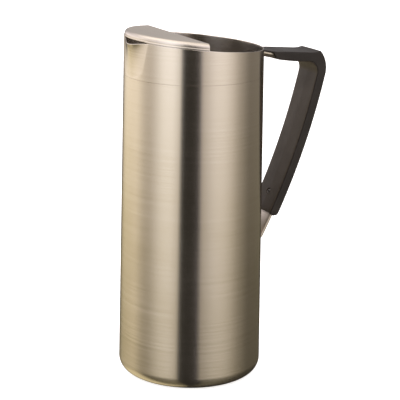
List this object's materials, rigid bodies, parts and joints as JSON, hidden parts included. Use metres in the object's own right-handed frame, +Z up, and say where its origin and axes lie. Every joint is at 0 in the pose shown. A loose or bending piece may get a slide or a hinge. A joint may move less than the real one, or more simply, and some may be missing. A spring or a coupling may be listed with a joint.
{
  "type": "water pitcher",
  "caption": "Tall brushed steel pitcher with a pressed pouring lip, a fixed ice guard over the lip half of the mouth, and a bent strap handle with a plastic grip.",
  "frame": {"origin": "centre of the pitcher's flat underside, on the body's axis", "axes": "+Z up along the body's axis, -X towards the pouring lip, +X towards the handle, symmetric about Y = 0"},
  "size_m": [0.1584, 0.1054, 0.2558],
  "materials": {
    "body_steel": "brushed round the body, slightly warm",
    "guard_steel": "satin flat top, polished rolled edge",
    "strap_steel": "satin, brushed along the strap",
    "grip_plastic": "fine matte texture",
    "liner_plastic": "fine matte texture, softer and a little lighter than the shell",
    "screw_steel": "black"
  },
  "bodies": {
    "root": {"base_pan": "body_steel", "body_tube": "body_steel", "spout_collar": "body_steel", "ice_guard": "guard_steel", "handle_strap": "strap_steel", "grip_shell": "grip_plastic", "grip_liner": "liner_plastic", "grip_screws": "screw_steel"}
  },
  "joints": []
}
